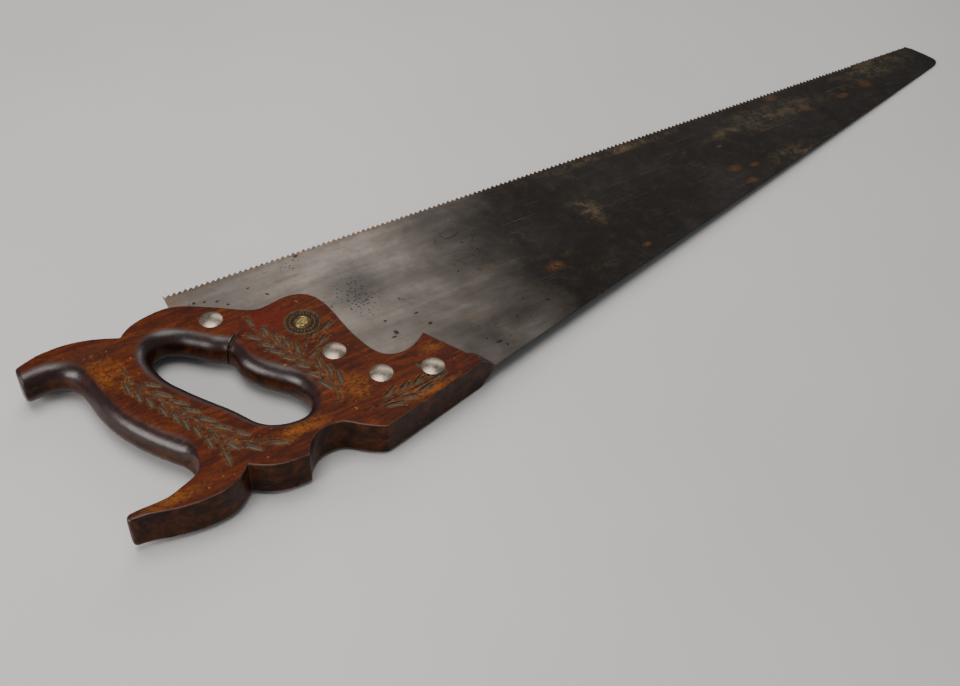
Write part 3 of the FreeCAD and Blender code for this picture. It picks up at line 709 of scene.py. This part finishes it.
def makeHandle():
    handle = copyOfNode("handle", "carvedHandle")
    handle.data.materials.clear()
    handle.data.materials.append(wood)
    lengthenUpperHorn(handle)
    remesh = handle.modifiers.new("evenSkin", "REMESH")
    remesh.mode = "VOXEL"
    remesh.voxel_size = handleValues["voxel"]
    applyAll(handle)
    easeGroups(handle)
    for group, turns in (("eased", handleValues["easeTurns"]),
                         ("hornEnd", handleValues["hornTurns"])):
        ease = handle.modifiers.new("ease", "SMOOTH")
        ease.factor = 0.5
        ease.iterations = turns
        ease.vertex_group = group
    worn = bpy.data.textures.new("handWorn", "CLOUDS")
    worn.noise_scale = handleValues["waverSize"]
    waver = handle.modifiers.new("waver", "DISPLACE")    # nothing stays dead flat in use
    waver.texture = worn
    waver.texture_coords = "LOCAL"
    waver.mid_level = handleValues["waverMiddle"]
    waver.strength = handleValues["waver"]
    waver.vertex_group = "eased"
    thin = handle.modifiers.new("thin", "DECIMATE")
    thin.ratio = handleValues["keep"]
    applyAll(handle)
    print("handle skinned", len(handle.data.polygons))
    cutAway(handle, makeNickCutter(), wood)
    cutAway(handle, makeCarvingCutters(), carved, True)
    print("handle carved", len(handle.data.polygons))
    smooth(handle, 40)
    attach(handle, "root")
    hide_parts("handle")


makeHandle()

medallionValues = {"bossTop": 11.85, "proud": 0.22,    # mm
                   "petals": 7, "petalOut": 2.2, "petalLong": 2.4, "petalWide": 1.3,
                   "wreath": 3.9, "wreathThick": 0.28, "budRadius": 0.8, "budProud": 1.25}


def makeMedallion():
    # the struck device is a plain rosette in a ring, worn low
    values = medallionValues
    medallion = copyOfNode("medallion_screw", "beadedMedallion")
    centre = spot(*medallionSpot, values["bossTop"])
    bpy.ops.mesh.primitive_uv_sphere_add(segments=14, ring_count=8, radius=1)
    petal = bpy.context.active_object
    petal.scale = (values["petalLong"] / 2000, values["petalWide"] / 2000, values["proud"] / 1000)
    petal.location = (values["petalOut"] / 1000, 0, 0)
    settle(petal)
    parts = []
    for number in range(values["petals"]):
        copy = bpy.data.objects.new("petal", petal.data.copy())
        bpy.context.scene.collection.objects.link(copy)
        copy.location = centre
        copy.rotation_euler = (0, 0, 2 * math.pi * number / values["petals"])
        parts.append(copy)
    bpy.data.objects.remove(petal)
    bpy.ops.mesh.primitive_torus_add(major_radius=values["wreath"] / 1000,
                                     minor_radius=values["wreathThick"] / 1000,
                                     major_segments=48, minor_segments=8, location=centre)
    parts.append(bpy.context.active_object)
    bpy.ops.mesh.primitive_uv_sphere_add(segments=14, ring_count=8, radius=1, location=centre)
    bud = bpy.context.active_object
    bud.scale = (values["budRadius"] / 1000, values["budRadius"] / 1000,
                 values["proud"] * values["budProud"] / 1000)
    parts.append(bud)
    device = joinPieces(parts, "device")
    strike = medallion.modifiers.new("strike", "BOOLEAN")
    strike.operation = "UNION"
    strike.solver = "EXACT"
    strike.use_self = True
    strike.object = device
    applyAll(medallion)
    bpy.data.objects.remove(device)
    print("medallion struck", len(medallion.data.polygons))
    smooth(medallion, 40)
    showAs(medallion, brass, "medallion_brass", "medallion_screw")


makeMedallion()
for name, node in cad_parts.items():
    if name.startswith(("screw_", "nut_")):
        node.data.materials.clear()
        node.data.materials.append(silver)
print("hardware finished")

# The saw tips on the handle's front until its toe touches, so the floor is tilted to meet it.
floorValues = {"size": 6.0, "slopeX": 0.0181, "slopeY": 0.0076,    # metres, rise per length
               "restX": 131.0, "restY": -146.0, "gap": 0.2}         # mm


def makeFloor():
    bpy.ops.mesh.primitive_plane_add(size=floorValues["size"])
    floor = bpy.context.active_object
    floor.name = "paleFloor"
    up = Vector((-floorValues["slopeX"], -floorValues["slopeY"], 1)).normalized()
    floor.rotation_euler = up.to_track_quat("Z", "Y").to_euler()
    floor.location = spot(floorValues["restX"], floorValues["restY"], -cheekHigh)
    floor.location -= up * floorValues["gap"] / 1000
    floor.data.materials.append(floorPaint())


def makeLight(name, place, aim, size, watts, colour):
    bpy.ops.object.light_add(type="AREA", location=place)
    light = bpy.context.active_object
    light.name = name
    light.data.shape = "RECTANGLE"
    light.data.size, light.data.size_y = size
    light.data.energy = watts
    light.data.color = colour
    light.rotation_euler = (Vector(aim) - Vector(place)).to_track_quat("-Z", "Y").to_euler()


cameraValues = {"sensor": 36.0, "lens": 41.59,    # mm
                "place": (-0.41241, -0.43422, 0.47274), "turn": (45.811, -2.965, -32.280)}
worldValues = {"colour": "#c9ccd0", "strength": 0.45}


def makeCamera():
    data = bpy.data.cameras.new("camera")
    camera = bpy.data.objects.new("camera", data)
    bpy.context.scene.collection.objects.link(camera)
    data.sensor_width = cameraValues["sensor"]
    data.lens = cameraValues["lens"]
    camera.location = cameraValues["place"]
    camera.rotation_euler = [math.radians(angle) for angle in cameraValues["turn"]]
    bpy.context.scene.camera = camera


def makeWorld():
    world = bpy.data.worlds.new("studio")
    bpy.context.scene.world = world
    world.use_nodes = True
    background = world.node_tree.nodes["Background"]
    background.inputs["Color"].default_value = paint(worldValues["colour"])
    background.inputs["Strength"].default_value = worldValues["strength"]


makeFloor()
makeLight("overheadSoftbox", (-0.35, 0.05, 1.1), (-0.2, 0, 0), (0.9, 0.6), 9, (1.0, 0.98, 0.95))
makeLight("leftWindow", (-1.45, -0.05, 0.52), (-0.3, 0, 0), (0.75, 0.5), 10, (1.0, 0.96, 0.95))
makeLight("farFill", (0.9, 1.2, 1.0), (0.0, 0, 0), (1.4, 0.6), 7, (1.0, 0.97, 0.94))
makeWorld()
makeCamera()

print("scene ready")
